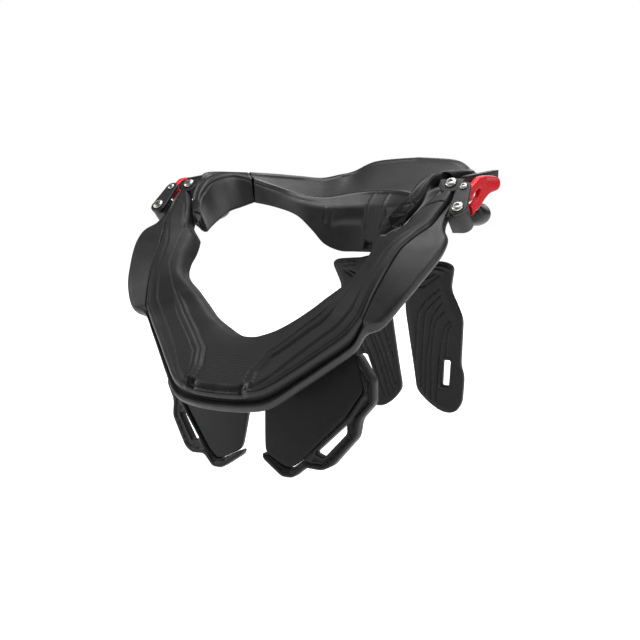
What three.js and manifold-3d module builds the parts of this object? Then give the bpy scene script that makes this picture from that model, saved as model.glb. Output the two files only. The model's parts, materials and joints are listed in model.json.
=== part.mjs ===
// Motocross neck brace: a hinged collar that stands on two chest legs and two back paddles.
// Millimetres. +X is the wearer's left, +Y the wearer's back, +Z up. The origin is on the
// floor under the middle of the brace. Names in _R are on the +X side, which is on the right
// as the brace is seen from in front, and names in _L on the other.
//
// The front half and both latches are laid out on the hinge plane, which slopes up to the
// back through the two hinge pins: i runs across, j up the slope from the pins, k off it.

import * as THREE from 'three';
import { mergeVertices } from 'three/addons/utils/BufferGeometryUtils.js';
import Module from 'manifold-3d';

const wasm = await Module();
wasm.setup();

// Driving dimensions

const PIN_HALF_SPAN = 120; // middle of the brace to a hinge pin
const HINGE_HEIGHT = 214.6; // pins above the floor
const FRONT_TILT = THREE.MathUtils.degToRad(44); // slope of the hinge plane
const FRONT_DROP = 200; // pins to the pad's lowest edge, down the slope
const BACK_REACH = 205; // pins to the table's back edge

const GAP = 0.3; // between pieces that touch
const PAD_THICK = 9; // front foam pad
const PAD_CROWN = 2.5; // how far its middle stands proud
const SEAT_INSET = 3; // chassis set back under the pad's neck edge
const FRAME_THICK = 9; // chassis under the pad
const FRAME_KEEL = 5; // extra depth where the chest legs hang from it
const FRAME_LIP = 7; // depth of the chassis's outer edge
const TABLE_THICK = 12; // hard rear section
const ARM_PAD_THICK = 10; // soft pads on the rear arms

const SCREW_HEAD_RADIUS = 4.6;
const SCREW_HEAD_HEIGHT = 2.4;
const SCREW_SHANK_RADIUS = 2.5;
const SMALL_SCREW_SCALE = 0.65;
const SCREW_CLEARANCE = 0.35;

const BOSS_RADIUS = 9.2; // round cover over the hinge pin
const BOSS_DEPTH = 9.2;
const BOSS_WALL = 12.8; // pin to the back of the wall behind the hook
const BOSS_WALL_THICK = 5.2;
const BOSS_WALL_DEPTH = 18; // hinge plane to the wall's lower edge
const RAMP_START = 4; // pin to where the cover's top starts to slope down
const RAMP_TILT = THREE.MathUtils.degToRad(40); // that slope, from the hinge plane
const FIN_START = 9.5; // pins to the fin's root, level
const FIN_REACH = 48.5; // root to tip
const FIN_THICK = 5;
const FIN_HEIGHT = 7.7; // at the root
const FIN_TIP_HEIGHT = 7;
const FIN_SEAT = 2.6; // pins down to the fin's lower edge, at its root
const FIN_RISE = 6; // how far its lower edge rises to the tip
const FIN_SPLAY = 5.6; // how far its tip stands out from its root

const HOOK_RADIUS = 7; // open hook of the front half round the pin
const HOOK_REACH = 5.5; // pin to the hook's tips
const HOOK_TOP = -(BOSS_DEPTH + 0.4);
const HOOK_DEPTH = 5.4;

const LATCH_PIN = { i: PIN_HALF_SPAN + 15.2, j: -28.3 }; // link's pivot on the front half
const LEVER_PIN = { i: PIN_HALF_SPAN + 13.2, j: -7 }; // lever's pivot on the link
const LINK_THICK = 3;
const LINK_RADIUS = 7; // round the latch pin
const LINK_TIP_RADIUS = 5.5; // round the lever pin
const BLOCK_RADIUS = 6.5;
const BLOCK_DEPTH = 17;
const BLOCK_SHELF = 9; // latch pin to the end of the block's shelf, under the link
const BLOCK_SHELF_DEPTH = 9.5;

const LEVER_REACH = 44.4; // pins to the lever's free end, level
const LEVER_HEIGHT = 29.5;
const LEVER_DROP = 23.7; // pins down to the lever's lowest point
const LEVER_THICK = 5;
const LEVER_SPLAY = 0.09; // lean of the lever outwards, per mm to the back
const BARREL_RADIUS = 4.7; // lever's hinge barrel
const BARREL_DEPTH = 9;

const LEG_LENGTH = 91; // how far the chest legs stand in front of the pins, at the floor
const LEG_WRAP = 0.0013; // curve of the legs round the chest, per mm
const LEG_LEAN = 0.17; // lean of the legs, per mm of height
const LEG_WIDTH = 92.7;
const RIM_THICK = 9;
const PANEL_THICK = 4;
const PANEL_INSET = 2;

const PADDLE_FOOT = 190; // pins to the paddles' front faces, at the floor
const PADDLE_LEAN = 0.338; // lean of the paddles, per mm of height
const PADDLE_HEIGHT = 146;
const PADDLE_WIDTH = 64;
const PADDLE_THICK = 7;
const STRUT_THICK = 6;
const STRUT_HALF_WIDTH = 14;
const STRUT_FOOT_HALF_WIDTH = 40;
const STRUT_LAP = 26; // how far its foot reaches down behind the paddles
const STRUT_SHOULDER = 6; // height of the slope between foot and neck
const STRUT_TOP = 15; // pins down to its upper end, inside the table's room

// Materials

const foam = new THREE.MeshStandardMaterial({ color: 0x1b1b1c, roughness: 0.85 });
const shell = new THREE.MeshStandardMaterial({ color: 0x161617, roughness: 0.5 });
const rim = new THREE.MeshStandardMaterial({ color: 0x141415, roughness: 0.6 });
const red = new THREE.MeshStandardMaterial({ color: 0xd41c26, roughness: 0.3 });
const steel = new THREE.MeshStandardMaterial({ color: 0xc8c8c4, roughness: 0.3, metalness: 1 });

// Geometry helpers

const brace = new THREE.Group();

function add(name, geometry, material) {
  const mesh = new THREE.Mesh(geometry, material);
  mesh.name = name;
  brace.add(mesh);
}

function onHingePlane(i, j, k) {
  return new THREE.Vector3(
    i,
    j * Math.cos(FRONT_TILT) - k * Math.sin(FRONT_TILT),
    HINGE_HEIGHT + j * Math.sin(FRONT_TILT) + k * Math.cos(FRONT_TILT)
  );
}

const hingeFrame = new THREE.Matrix4().makeBasis(
  new THREE.Vector3(1, 0, 0),
  new THREE.Vector3(0, Math.cos(FRONT_TILT), Math.sin(FRONT_TILT)),
  new THREE.Vector3(0, -Math.sin(FRONT_TILT), Math.cos(FRONT_TILT))
).setPosition(0, 0, HINGE_HEIGHT);

function welded(geometry) {
  const bare = geometry.clone();
  bare.deleteAttribute('normal');
  bare.deleteAttribute('uv');
  return mergeVertices(bare, 1e-4);
}

function toSolid(geometry) {
  const closed = welded(geometry);
  return new wasm.Manifold(new wasm.Mesh({
    numProp: 3,
    vertProperties: new Float32Array(closed.attributes.position.array),
    triVerts: new Uint32Array(closed.index.array),
  }));
}

function toGeometry(solid) {
  const mesh = solid.getMesh();
  const geometry = new THREE.BufferGeometry();
  geometry.setAttribute('position', new THREE.BufferAttribute(mesh.vertProperties, 3));
  geometry.setIndex(new THREE.BufferAttribute(mesh.triVerts, 1));
  return geometry;
}

function flipped(geometry) {
  const index = geometry.index.array;
  for (let n = 0; n < index.length; n += 3) {
    [index[n], index[n + 1]] = [index[n + 1], index[n]];
  }
  return geometry;
}

function mirrored(geometry) {
  return flipped(welded(geometry).applyMatrix4(new THREE.Matrix4().makeScale(-1, 1, 1)));
}

function addPair(name, geometry, material) {
  add(`${name}_R`, geometry, material);
  add(`${name}_L`, mirrored(geometry), material);
}

function volume(points, index) {
  let sum = 0;
  for (let n = 0; n < index.length; n += 3) {
    const [a, b, c] = [points[index[n]], points[index[n + 1]], points[index[n + 2]]];
    sum += a.dot(new THREE.Vector3().crossVectors(b, c));
  }
  return sum / 6;
}

// Flat view of a ring, for filling its end cap.
function flattened(ring) {
  const normal = new THREE.Vector3();
  ring.forEach((p, n) => normal.add(new THREE.Vector3().crossVectors(p, ring[(n + 1) % ring.length])));
  normal.normalize();
  const across = new THREE.Vector3().subVectors(ring[1], ring[0]).normalize();
  across.addScaledVector(normal, -across.dot(normal)).normalize();
  const up = new THREE.Vector3().crossVectors(normal, across);
  return ring.map((p) => new THREE.Vector2(p.dot(across), p.dot(up)));
}

// Closed wall through a row of rings with the same number of points.
function loft(rings) {
  const size = rings[0].length;
  const points = rings.flat();
  const index = [];
  for (let r = 0; r + 1 < rings.length; r += 1) {
    for (let n = 0; n < size; n += 1) {
      const a = r * size + n;
      const b = r * size + ((n + 1) % size);
      index.push(a, b, a + size, b, b + size, a + size);
    }
  }
  const last = (rings.length - 1) * size;
  THREE.ShapeUtils.triangulateShape(flattened(rings[0]), []).forEach(([a, b, c]) => index.push(a, c, b));
  THREE.ShapeUtils.triangulateShape(flattened(rings.at(-1)), [])
    .forEach(([a, b, c]) => index.push(last + a, last + b, last + c));
  const geometry = new THREE.BufferGeometry();
  geometry.setAttribute('position', new THREE.Float32BufferAttribute(points.flatMap((p) => p.toArray()), 3));
  geometry.setIndex(index);
  return volume(points, index) < 0 ? flipped(geometry) : geometry;
}

// Rows of a table, from its column names and its values.
function table(columns, rows) {
  const names = columns.split(' ');
  return rows.map((row) => Object.fromEntries(names.map((name, n) => [name, row[n]])));
}

// Rows in between the rows of a table, on a smooth curve through every column.
function smoothRows(rows, steps) {
  const columns = Object.keys(rows[0]);
  const out = [];
  for (let r = 0; r + 1 < rows.length; r += 1) {
    const near = [rows[Math.max(r - 1, 0)], rows[r], rows[r + 1], rows[Math.min(r + 2, rows.length - 1)]];
    for (let s = 0; s < steps; s += 1) {
      const t = s / steps;
      out.push(Object.fromEntries(columns.map((column) => {
        const [p0, p1, p2, p3] = near.map((row) => row[column]);
        const slopeIn = (p2 - p0) / 2;
        const slopeOut = (p3 - p1) / 2;
        const bend = 2 * p1 - 2 * p2 + slopeIn + slopeOut;
        const rise = 3 * (p2 - p1) - 2 * slopeIn - slopeOut;
        return [column, ((bend * t + rise) * t + slopeIn) * t + p1];
      })));
    }
  }
  out.push(rows.at(-1));
  return out;
}

const mirrorPoint = (p) => new THREE.Vector3(-p.x, p.y, p.z);

// A half row of rings that ends on the middle, completed to the other side.
function bothSides(rings) {
  return [...rings, ...rings.slice(0, -1).reverse().map((ring) => ring.map(mirrorPoint))];
}

// Outline that runs anticlockwise, with holes that run clockwise.
function outline(points, holes = []) {
  const turned = (corners, clockwise) => {
    const path = corners.map(([x, y]) => new THREE.Vector2(x, y));
    return THREE.ShapeUtils.isClockWise(path) === clockwise ? path : path.reverse();
  };
  const shape = new THREE.Shape(turned(points, false));
  shape.holes = holes.map((hole) => new THREE.Path(turned(hole, true)));
  return shape;
}

// Slab of an outline on the hinge plane, from one level to another.
function slab(shape, low, high, curveSegments = 8) {
  return new THREE.ExtrudeGeometry(shape, { depth: high - low, bevelEnabled: false, curveSegments })
    .translate(0, 0, low)
    .applyMatrix4(hingeFrame);
}

// Cylinder standing on the hinge plane.
function post(pin, radius, low, high, sides = 20) {
  return new THREE.CylinderGeometry(radius, radius, high - low, sides)
    .rotateX(Math.PI / 2)
    .translate(pin.i, pin.j, (low + high) / 2)
    .applyMatrix4(hingeFrame);
}

function joined(...geometries) {
  return geometries.map(toSolid).reduce((sum, solid) => sum.add(solid));
}

function cut(solid, ...tools) {
  return tools.map(toSolid).reduce((rest, tool) => rest.subtract(tool), solid);
}

// Front half: one table of sections from the tongue at the hinge to the middle of the chest.
// i and edge i are shares of the pins' half span, j and edge j of the front's drop, k and edge
// k of the pad's thickness. "in" is the pad's neck edge, "out" its outer edge, "edge" the
// chassis's outer edge, "shell" how far the chassis rises beside the pad.

const frontSections = table('inI inJ inK outI outJ outK edgeI edgeJ edgeK shell', [
  [0.963, -0.049, 0.0, 1.033, -0.046, 0.0, 1.060, -0.043, 0.0, 1],
  [0.883, -0.105, 0.0, 1.038, -0.085, 0.0, 1.060, -0.085, 0.0, 1],
  [0.817, -0.180, 0.0, 1.017, -0.165, 0.2, 1.058, -0.170, 0.0, 1],
  [0.788, -0.228, 0.0, 0.996, -0.230, 0.4, 1.079, -0.230, 0.1, 1],
  [0.683, -0.292, 0.0, 0.950, -0.280, 0.6, 1.125, -0.275, 0.3, 1],
  [0.663, -0.315, 0.0, 0.920, -0.325, 0.8, 1.138, -0.310, 0.35, 1],
  [0.650, -0.360, 0.0, 0.888, -0.375, 0.9, 1.129, -0.370, 0.35, 1],
  [0.642, -0.410, 0.1, 0.858, -0.475, 0.8, 1.079, -0.465, 0.3, 1],
  [0.596, -0.490, 0.0, 0.823, -0.570, 0.4, 1.008, -0.572, 0.1, 1],
  [0.489, -0.540, -0.5, 0.792, -0.650, -0.2, 0.912, -0.660, -0.5, 1],
  [0.458, -0.555, -0.6, 0.775, -0.668, -0.4, 0.804, -0.678, -0.9, 0.5],
  [0.384, -0.590, -0.95, 0.712, -0.718, -0.9, 0.733, -0.733, -1.75, 0],
  [0.280, -0.640, -1.3, 0.587, -0.800, -1.1, 0.608, -0.818, -1.95, 0],
  [0.169, -0.672, -1.75, 0.458, -0.885, -1.2, 0.479, -0.905, -2.05, 0],
  [0.083, -0.697, -1.8, 0.317, -0.968, -1.25, 0.337, -0.992, -2.15, 0],
  [0.042, -0.705, -1.8, 0.167, -0.995, -1.3, 0.177, -1.020, -2.2, 0],
  [0.000, -0.707, -1.8, 0.000, -1.000, -1.35, 0.000, -1.025, -2.25, 0],
]);

// Points of one front section: t runs from the neck edge at 0 to the pad's outer edge at 1.
function frontSection(row) {
  const inner = new THREE.Vector3(row.inI * PIN_HALF_SPAN, row.inJ * FRONT_DROP, row.inK * PAD_THICK);
  const outer = new THREE.Vector3(row.outI * PIN_HALF_SPAN, row.outJ * FRONT_DROP, row.outK * PAD_THICK);
  const edge = new THREE.Vector3(row.edgeI * PIN_HALF_SPAN, row.edgeJ * FRONT_DROP, row.edgeK * PAD_THICK);
  const width = Math.hypot(outer.x - inner.x, outer.y - inner.y);
  const at = (mm, k) => {
    const p = new THREE.Vector3().lerpVectors(inner, outer, mm / width);
    return onHingePlane(p.x, p.y, p.z + k);
  };
  return { at, width, edge, row };
}

function padRing(row) {
  const { at, width } = frontSection(row);
  const crown = Math.min(PAD_CROWN, width * 0.1);
  const round = Math.min(4, width * 0.25);
  return [
    at(Math.min(SEAT_INSET, width * 0.2), -PAD_THICK),
    at(0, -PAD_THICK * 0.65),
    at(round / 5, -PAD_THICK * 0.2),
    at(round, crown * 0.5),
    at(width * 0.4, crown),
    at(width * 0.75, crown),
    at(width - round / 2, 0),
    at(width, -2),
    at(width, -PAD_THICK),
  ];
}

function frameRing(row, room = 0) {
  const { at, width, edge } = frontSection(row);
  const seat = -PAD_THICK - GAP;
  const rise = seat + row.shell * (PAD_THICK - 1.5);
  const foot = Math.min(9, width * 0.3);
  const step = Math.min(SEAT_INSET, width * 0.2);
  const base = seat - FRAME_THICK - (1 - row.shell) * FRAME_KEEL - room;
  return [
    at(step, seat),
    at(width + GAP, seat),
    at(width + GAP + 0.1, rise),
    onHingePlane(edge.x, edge.y, edge.z),
    onHingePlane(edge.x, edge.y, edge.z - FRAME_LIP - room),
    at(width - foot / 2, base),
    at(foot, base),
    at(step, seat - 3 - room),
  ].reverse();
}

const frontRows = smoothRows(frontSections, 2);

function frontPad() {
  return loft(bothSides(frontRows.map(padRing)));
}

// Flat open hook under the tongue, which takes the hinge pin from in front.
function hingeHook() {
  const shape = new THREE.Shape();
  const slot = SCREW_SHANK_RADIUS + SCREW_CLEARANCE;
  const root = frontSections[0].inJ * FRONT_DROP - HOOK_RADIUS;
  shape.moveTo(-HOOK_RADIUS, root);
  shape.lineTo(HOOK_RADIUS, root);
  shape.lineTo(HOOK_RADIUS, HOOK_REACH / 2);
  shape.lineTo(slot, HOOK_REACH);
  shape.lineTo(slot, 0);
  shape.absarc(0, 0, slot, 0, -Math.PI, true);
  shape.lineTo(-slot, HOOK_REACH);
  shape.lineTo(-HOOK_RADIUS, HOOK_REACH / 2);
  shape.closePath();
  return slab(shape, HOOK_TOP - HOOK_DEPTH, HOOK_TOP).translate(PIN_HALF_SPAN, 0, 0);
}

function frontFrame() {
  const hook = hingeHook();
  return toGeometry(joined(loft(bothSides(frontRows.map((row) => frameRing(row)))), hook, mirrored(hook)));
}

add('front_pad', frontPad(), foam);
add('front_frame', frontFrame(), shell);

// Rear half: one table of sections from the tip of the arm by the hinge to the middle of the
// back. x is a share of the pins' half span, y of the back's reach, z of the hinge height.
// "low" is the neck wall's lower edge, "ridge" its upper edge, "edge" the top's outer edge.

const armSections = table('lowX lowY lowZ ridgeX ridgeY ridgeZ edgeX edgeY edgeZ', [
  [0.633, -0.172, 0.815, 0.700, -0.160, 0.885, 0.800, -0.140, 0.893],
  [0.667, -0.098, 0.843, 0.785, -0.107, 0.958, 0.872, -0.070, 0.964],
  [0.692, -0.020, 0.867, 0.803, -0.022, 1.012, 0.900, 0.003, 1.029],
  [0.717, 0.068, 0.892, 0.813, 0.080, 1.038, 1.000, 0.107, 1.043],
  [0.717, 0.146, 0.906, 0.815, 0.185, 1.045, 1.015, 0.205, 1.048],
  [0.708, 0.229, 0.925, 0.760, 0.256, 1.026, 0.883, 0.341, 1.048],
]);

const tableSections = table('lowX lowY lowZ ridgeX ridgeY ridgeZ edgeX edgeY edgeZ', [
  [0.705, 0.233, 0.925, 0.739, 0.258, 1.016, 0.880, 0.346, 1.048],
  [0.617, 0.322, 0.904, 0.667, 0.361, 0.979, 0.817, 0.507, 1.044],
  [0.517, 0.390, 0.871, 0.550, 0.420, 0.946, 0.750, 0.649, 1.037],
  [0.417, 0.420, 0.811, 0.400, 0.463, 0.930, 0.642, 0.741, 1.030],
  [0.333, 0.439, 0.755, 0.300, 0.498, 0.932, 0.550, 0.820, 1.046],
  [0.217, 0.454, 0.727, 0.200, 0.537, 0.944, 0.508, 0.912, 1.062],
  [0.100, 0.459, 0.725, 0.100, 0.561, 0.946, 0.350, 0.966, 1.107],
  [0.000, 0.459, 0.725, 0.000, 0.566, 0.946, 0.000, 1.000, 1.123],
]);

function rearPoints(row) {
  const point = (name) => new THREE.Vector3(
    row[`${name}X`] * PIN_HALF_SPAN,
    row[`${name}Y`] * BACK_REACH,
    row[`${name}Z`] * HINGE_HEIGHT
  );
  return { low: point('low'), ridge: point('ridge'), edge: point('edge') };
}

// Angled section: a wall towards the neck, a rounded ridge, and a top that slopes outwards.
function rearRing(row, thick) {
  const { low, ridge, edge } = rearPoints(row);
  const across = new THREE.Vector3(edge.x - ridge.x, edge.y - ridge.y, 0).normalize();
  const wall = new THREE.Vector3().subVectors(ridge, low);
  const top = new THREE.Vector3().subVectors(edge, ridge);
  const down = new THREE.Vector3(0, 0, -1);
  const along = (base, direction, share) => base.clone().addScaledVector(direction, share);
  const inset = Math.min(thick, top.length() * 0.5);
  const corner = along(along(ridge, across, inset), down, thick);
  corner.addScaledVector(top, 0.06);
  return [
    low,
    along(low, wall, 0.85),
    along(ridge, top, 0.12),
    along(ridge, top, 0.96),
    along(edge, down, thick * 0.15),
    along(along(edge, down, thick), across, -thick * 0.2),
    corner,
    along(low, across, thick * 0.8),
  ];
}

// Room for the hinge cover and the hook, in front of the rear arm.
function coverRoom(side) {
  const [inner, outer] = [PIN_HALF_SPAN - BOSS_RADIUS - side, PIN_HALF_SPAN + BOSS_RADIUS + side];
  const [front, back] = [-BOSS_RADIUS - side, BOSS_WALL + GAP];
  const shape = outline([[inner, front], [outer, front], [outer, back], [inner, back]]);
  return slab(shape, -3 * BOSS_WALL_DEPTH, BOSS_WALL);
}

// Fin that runs back from the hinge cover, beside the rear arm.
function hingeFin(room = 0) {
  return loft([0, 0.33, 0.67, 1].map((share) => {
    const y = FIN_START + share * FIN_REACH;
    const out = PIN_HALF_SPAN + BOSS_RADIUS + share * FIN_SPLAY + room;
    const low = HINGE_HEIGHT - FIN_SEAT + share * FIN_RISE - room;
    const high = low + THREE.MathUtils.lerp(FIN_HEIGHT, FIN_TIP_HEIGHT, share) + 2 * room;
    const inner = out - FIN_THICK - 2 * room;
    return [[out, low], [out, high], [inner, high], [inner, low]].map(([x, z]) => new THREE.Vector3(x, y, z));
  }));
}

// Core of a rear arm, from the back of the hinge cover to the rear section under the pad.
// Corners run round each section; x, y and z are shares as in the tables above.
function armCore() {
  const back = BOSS_WALL + GAP;
  const near = [[115, HOOK_TOP], [129, HOOK_TOP], [129, HOOK_TOP - 8], [115, HOOK_TOP - 8]]
    .map(([i, k]) => onHingePlane(i, back, k));
  const stations = [
    [[0.883, 0.140, 0.955], [1.025, 0.155, 0.980], [1.040, 0.160, 0.940], [0.900, 0.140, 0.915]],
    [[0.858, 0.190, 0.955], [0.975, 0.215, 0.985], [0.995, 0.220, 0.940], [0.867, 0.185, 0.915]],
    [[0.833, 0.285, 0.960], [0.905, 0.340, 0.985], [0.925, 0.345, 0.940], [0.838, 0.280, 0.920]],
    [[0.770, 0.370, 0.955], [0.850, 0.440, 0.985], [0.860, 0.445, 0.950], [0.780, 0.370, 0.920]],
  ];
  const rings = stations.map((station) => station.map(
    ([x, y, z]) => new THREE.Vector3(x * PIN_HALF_SPAN, y * BACK_REACH, z * HINGE_HEIGHT)
  ));
  return toGeometry(cut(toSolid(loft([near, ...rings])), coverRoom(BOSS_RADIUS), hingeFin(GAP)));
}

function rearTable() {
  const core = armCore();
  const body = loft(bothSides(smoothRows(tableSections, 2).map((row) => rearRing(row, TABLE_THICK))));
  return toGeometry(joined(body, core, mirrored(core)));
}

function armPad() {
  const pad = loft(smoothRows(armSections, 2).map((row) => rearRing(row, ARM_PAD_THICK)));
  const core = [[0, GAP], [0, -GAP], [-GAP, 0]].map(([x, z]) => armCore().translate(x, 0, z));
  return toGeometry(cut(toSolid(pad), coverRoom(GAP), ...core));
}

add('rear_table', rearTable(), shell);
addPair('rear_arm_pad', armPad(), foam);

// Hinge cover: a round cap over the pin, a wall behind the hook, and the fin.
function hingeCover() {
  const cap = new THREE.Shape();
  cap.moveTo(BOSS_RADIUS, 0);
  cap.lineTo(BOSS_RADIUS, BOSS_WALL);
  cap.lineTo(-BOSS_RADIUS, BOSS_WALL);
  cap.lineTo(-BOSS_RADIUS, 0);
  cap.absarc(0, 0, BOSS_RADIUS, Math.PI, Math.PI * 2, false);
  const back = BOSS_WALL - BOSS_WALL_THICK;
  const wall = outline([[-BOSS_RADIUS, back], [BOSS_RADIUS, back], [BOSS_RADIUS, BOSS_WALL],
    [-BOSS_RADIUS, BOSS_WALL]]);
  const ramp = new THREE.BoxGeometry(4 * BOSS_RADIUS, 4 * BOSS_WALL, 4 * BOSS_RADIUS)
    .translate(0, 2 * BOSS_WALL, 2 * BOSS_RADIUS)
    .rotateX(-RAMP_TILT)
    .translate(PIN_HALF_SPAN, RAMP_START, 0)
    .applyMatrix4(hingeFrame);
  const place = (geometry) => geometry.translate(PIN_HALF_SPAN, 0, 0);
  const body = joined(place(slab(cap, -BOSS_DEPTH, 0)), place(slab(wall, -BOSS_WALL_DEPTH, -BOSS_DEPTH)));
  const bore = post({ i: PIN_HALF_SPAN, j: 0 }, SCREW_SHANK_RADIUS + SCREW_CLEARANCE, -BOSS_DEPTH - 1, 1);
  return toGeometry(cut(body, ramp, bore).add(toSolid(hingeFin())));
}

addPair('hinge_cover', hingeCover(), shell);

// Button-head screw with a hexagonal socket, along the hinge plane's normal.
function screw(pin, seat, length, scale = 1) {
  const radius = SCREW_HEAD_RADIUS * scale;
  const height = SCREW_HEAD_HEIGHT * scale;
  const shank = SCREW_SHANK_RADIUS * scale;
  const profile = [[0, -length], [shank, -length], [shank, 0], [radius, 0], [radius, height * 0.45],
    [radius * 0.82, height * 0.85], [radius * 0.55, height], [0, height]];
  const body = new THREE.LatheGeometry(profile.map(([x, y]) => new THREE.Vector2(x, y)), 20)
    .rotateX(Math.PI / 2)
    .translate(pin.i, pin.j, seat)
    .applyMatrix4(hingeFrame);
  const socket = post(pin, radius * 0.5, seat + height * 0.3, seat + height + 1, 6);
  return toGeometry(cut(toSolid(body), socket));
}

addPair('hinge_screw', screw({ i: PIN_HALF_SPAN, j: 0 }, GAP, -HOOK_TOP + HOOK_DEPTH + 2), steel);

// Round block at the end of the front arm, with a shelf that runs on under the link.
function latchBlock() {
  const side = frontSections[2].edgeI * PIN_HALF_SPAN + 2 * GAP;
  const block = new THREE.Shape();
  block.moveTo(side, LATCH_PIN.j - BLOCK_RADIUS);
  block.lineTo(LATCH_PIN.i, LATCH_PIN.j - BLOCK_RADIUS);
  block.absarc(LATCH_PIN.i, LATCH_PIN.j, BLOCK_RADIUS, -Math.PI / 2, Math.PI / 2, false);
  block.lineTo(side, LATCH_PIN.j + BLOCK_RADIUS);
  const shelfEnd = LATCH_PIN.j + BLOCK_SHELF;
  const shelf = outline([[side, LATCH_PIN.j], [LATCH_PIN.i + BLOCK_RADIUS, LATCH_PIN.j],
    [LATCH_PIN.i + BLOCK_RADIUS / 2, shelfEnd], [side, shelfEnd]]);
  const body = joined(slab(block, -BLOCK_DEPTH, 0), slab(shelf, -BLOCK_SHELF_DEPTH, 0));
  const bore = post(LATCH_PIN, SCREW_SHANK_RADIUS + SCREW_CLEARANCE, 2 - BLOCK_DEPTH, 1);
  return toGeometry(cut(body, bore));
}

// Link from the block's screw to the lever's screw.
function latchLink() {
  const shape = new THREE.Shape();
  const turn = Math.atan2(LEVER_PIN.j - LATCH_PIN.j, LEVER_PIN.i - LATCH_PIN.i);
  const [left, right] = [turn + Math.PI / 2, turn - Math.PI / 2];
  shape.absarc(LATCH_PIN.i, LATCH_PIN.j, LINK_RADIUS, left, right + Math.PI * 2, false);
  shape.absarc(LEVER_PIN.i, LEVER_PIN.j, LINK_TIP_RADIUS, right, left, false);
  const small = SCREW_SHANK_RADIUS * SMALL_SCREW_SCALE + SCREW_CLEARANCE;
  return toGeometry(cut(
    toSolid(slab(shape, GAP, GAP + LINK_THICK)),
    post(LATCH_PIN, SCREW_SHANK_RADIUS + SCREW_CLEARANCE, -1, LINK_THICK + 1),
    post(LEVER_PIN, small, -1, LINK_THICK + 1)
  ));
}

// Outline of the lever seen from its side, with the open slot in its front end: y as a share of
// its reach, z of its height.
const leverOutline = [
  [-0.032, 0.715], [0.137, 0.861], [0.286, 0.963], [0.615, 1], [0.923, 0.953], [1, 0.783],
  [0.908, 0.631], [0.628, 0.546], [0.421, 0.383], [0.243, 0.186], [0.081, 0.078], [0.009, 0],
  [-0.018, 0.125], [-0.023, 0.22], [0.068, 0.295], [0.207, 0.444], [0.279, 0.62], [0.234, 0.671],
  [0.126, 0.607], [0, 0.478], [-0.099, 0.376], [-0.113, 0.424], [-0.068, 0.566],
];

// Red lever: an upright flap along the rear arm, which turns on a barrel under the link.
function redLever() {
  const corners = leverOutline.map(
    ([y, z]) => new THREE.Vector3(y * LEVER_REACH, z * LEVER_HEIGHT - LEVER_DROP, 0)
  );
  const edge = new THREE.CatmullRomCurve3(corners, true).getPoints(2 * corners.length);
  const shape = outline(edge.slice(0, -1).map((p) => [p.x, p.y]));
  const upright = new THREE.Matrix4().set(
    LEVER_SPLAY, 0, 1, LEVER_PIN.i,
    1, 0, 0, 0,
    0, 1, 0, HINGE_HEIGHT,
    0, 0, 0, 1
  );
  const flap = new THREE.ExtrudeGeometry(shape, { depth: LEVER_THICK, bevelEnabled: false })
    .applyMatrix4(upright);
  const barrel = post(LEVER_PIN, BARREL_RADIUS, -BARREL_DEPTH, 0);
  const bore = post(LEVER_PIN, SCREW_SHANK_RADIUS * SMALL_SCREW_SCALE + SCREW_CLEARANCE, 1 - BARREL_DEPTH, 1);
  return toGeometry(cut(joined(flap, barrel), bore));
}

addPair('latch_block', latchBlock(), shell);
addPair('latch_screw', screw(LATCH_PIN, LINK_THICK + 2 * GAP, 16), steel);
addPair('latch_link', latchLink(), shell);
addPair('lever_screw', screw(LEVER_PIN, LINK_THICK + 2 * GAP, 9, SMALL_SCREW_SCALE), steel);
addPair('red_lever', redLever(), red);

// Soft lobe under each rear arm, which rests on the shoulder.
// Centre and half sizes are shares of the pins' half span and the hinge height.
const shoulderSections = table('x y z halfWide halfHigh', [
  [1.035, 0.105, 0.899, 0.035, 0.018],
  [1.040, 0.125, 0.896, 0.085, 0.038],
  [1.040, 0.185, 0.890, 0.100, 0.042],
  [1.010, 0.235, 0.898, 0.080, 0.036],
  [0.995, 0.255, 0.902, 0.035, 0.018],
]);

function shoulderPad() {
  const sides = 12;
  const lobe = loft(shoulderSections.map((row) => Array.from({ length: sides }, (_, n) => {
    const turn = (n / sides) * Math.PI * 2;
    return new THREE.Vector3(
      (row.x + row.halfWide * Math.cos(turn)) * PIN_HALF_SPAN,
      row.y * BACK_REACH,
      (row.z + row.halfHigh * Math.sin(turn)) * HINGE_HEIGHT
    );
  })));
  return toGeometry(cut(toSolid(lobe), armCore().translate(0, 0, -GAP)));
}

addPair('shoulder_pad', shoulderPad(), foam);

// Chest legs. Outline points are shares of the leg's half width across and of its width up.

function legFront(x, z) {
  return -LEG_LENGTH + LEG_WRAP * x * x + LEG_LEAN * z;
}

// Bends a flat plate of x and height onto a leaning, curved surface.
function bentPlate(points, holes, surface, near, far) {
  const plate = new THREE.ExtrudeGeometry(outline(points, holes), { depth: far - near, bevelEnabled: false });
  const position = plate.attributes.position;
  for (let n = 0; n < position.count; n += 1) {
    const [x, z, depth] = [position.getX(n), position.getY(n), position.getZ(n)];
    position.setXYZ(n, x, surface(x, z) + near + depth, z);
  }
  return flippedIfInside(welded(plate));
}

function flippedIfInside(geometry) {
  const position = geometry.attributes.position;
  const corner = (_, n) => new THREE.Vector3().fromBufferAttribute(position, n);
  const points = Array.from({ length: position.count }, corner);
  return volume(points, geometry.index.array) < 0 ? flipped(geometry) : geometry;
}

function legSized(points) {
  return points.map(([x, z]) => [x * LEG_WIDTH, z * LEG_WIDTH]);
}

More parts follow.
